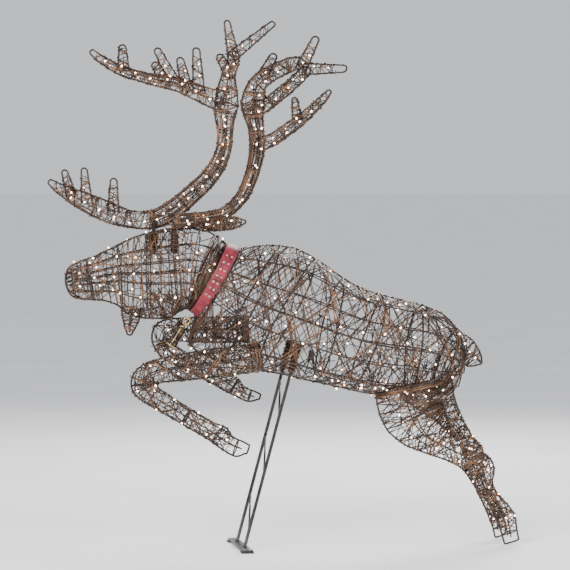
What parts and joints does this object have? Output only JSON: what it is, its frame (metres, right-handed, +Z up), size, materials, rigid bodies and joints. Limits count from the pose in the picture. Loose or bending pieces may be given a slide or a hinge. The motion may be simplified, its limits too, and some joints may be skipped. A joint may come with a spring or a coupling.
{
  "type": "light-up yard reindeer",
  "caption": "Leaping buck of wound wire on steel rod frames with warm light strings, leather collar with hanging bell, lift-off antlers and a push-in rod stand.",
  "frame": {"origin": "centre of the base plane, under the middle of the deer's overall box", "axes": "+Z up, -X towards the nose, -Y towards the deer's left side"},
  "size_m": [1.4148, 0.4618, 1.5907],
  "materials": {
    "winding_wire": "satin",
    "frame_steel": "satin",
    "stand_steel": "satin",
    "collar_leather": "satin",
    "hardware_brass": "polished",
    "eyelet_nickel": "polished",
    "light_string": "glossy",
    "inlet_plastic": "matte",
    "foot_rubber": "matte"
  },
  "bodies": {
    "deer": {"torso_frame": "frame_steel", "torso_winding": "winding_wire", "torso_light_string": "light_string", "power_inlet": "inlet_plastic", "left_stand_sleeve": "frame_steel", "right_stand_sleeve": "frame_steel", "tail_frame": "frame_steel", "tail_winding": "winding_wire", "head_frame": "frame_steel", "head_winding": "winding_wire", "head_light_string": "light_string", "throat_tuft_frame": "frame_steel", "throat_tuft_winding": "winding_wire", "left_ear_frame": "frame_steel", "left_ear_winding": "winding_wire", "right_ear_frame": "frame_steel", "right_ear_winding": "winding_wire", "left_antler_socket": "frame_steel", "right_antler_socket": "frame_steel", "left_foreleg_frame": "frame_steel", "left_foreleg_forearm_winding": "winding_wire", "left_foreleg_shank_winding": "winding_wire", "right_foreleg_frame": "frame_steel", "right_foreleg_forearm_winding": "winding_wire", "right_foreleg_shank_winding": "winding_wire", "left_hind_leg_frame": "frame_steel", "left_hind_leg_thigh_winding": "winding_wire", "left_hind_leg_shank_winding": "winding_wire", "right_hind_leg_frame": "frame_steel", "right_hind_leg_thigh_winding": "winding_wire", "right_hind_leg_shank_winding": "winding_wire", "collar_strap": "collar_leather", "collar_buckle": "hardware_brass", "collar_prongs": "hardware_brass", "collar_keeper": "collar_leather", "collar_eyelet_1": "eyelet_nickel", "collar_eyelet_2": "eyelet_nickel", "collar_eyelet_3": "eyelet_nickel", "collar_eyelet_4": "eyelet_nickel", "collar_eyelet_5": "eyelet_nickel", "collar_eyelet_6": "eyelet_nickel", "collar_eyelet_7": "eyelet_nickel", "collar_eyelet_8": "eyelet_nickel", "collar_eye": "hardware_brass", "collar_ring": "hardware_brass"},
    "left_antler": {"left_antler_frame": "frame_steel", "left_antler_beam_winding": "winding_wire", "left_antler_palm_winding": "winding_wire", "left_antler_light_string": "light_string"},
    "right_antler": {"right_antler_frame": "frame_steel", "right_antler_beam_winding": "winding_wire", "right_antler_crown_winding": "winding_wire", "right_antler_brow_winding": "winding_wire", "right_antler_light_string": "light_string"},
    "bell": {"bell_loop": "hardware_brass", "bell_shell": "hardware_brass"},
    "clapper": {"bell_clapper": "hardware_brass"},
    "stand": {"stand_frame": "stand_steel", "left_foot_pad": "foot_rubber", "right_foot_pad": "foot_rubber"}
  },
  "joints": [
    {"name": "left_antler_lift", "type": "slide", "parent": "deer", "child": "left_antler", "axis": [0, 0, 1], "range_m": [0, 0.06]},
    {"name": "right_antler_lift", "type": "slide", "parent": "deer", "child": "right_antler", "axis": [0, 0, 1], "range_m": [0, 0.06]},
    {"name": "stand_slide", "type": "slide", "parent": "deer", "child": "stand", "axis": [-0.2588, 0, -0.9659], "range_m": [0, 0.06]},
    {"name": "bell_swing", "type": "hinge", "parent": "deer", "child": "bell", "pos_m": [-0.298, 0, 0.682], "axis": [0, 1, 0], "range_deg": [-12, 30]},
    {"name": "clapper_swing", "type": "hinge", "parent": "bell", "child": "clapper", "pos_m": [-0.31275, 0, 0.6582], "axis": [0, 1, 0], "range_deg": [-8, 8]}
  ]
}
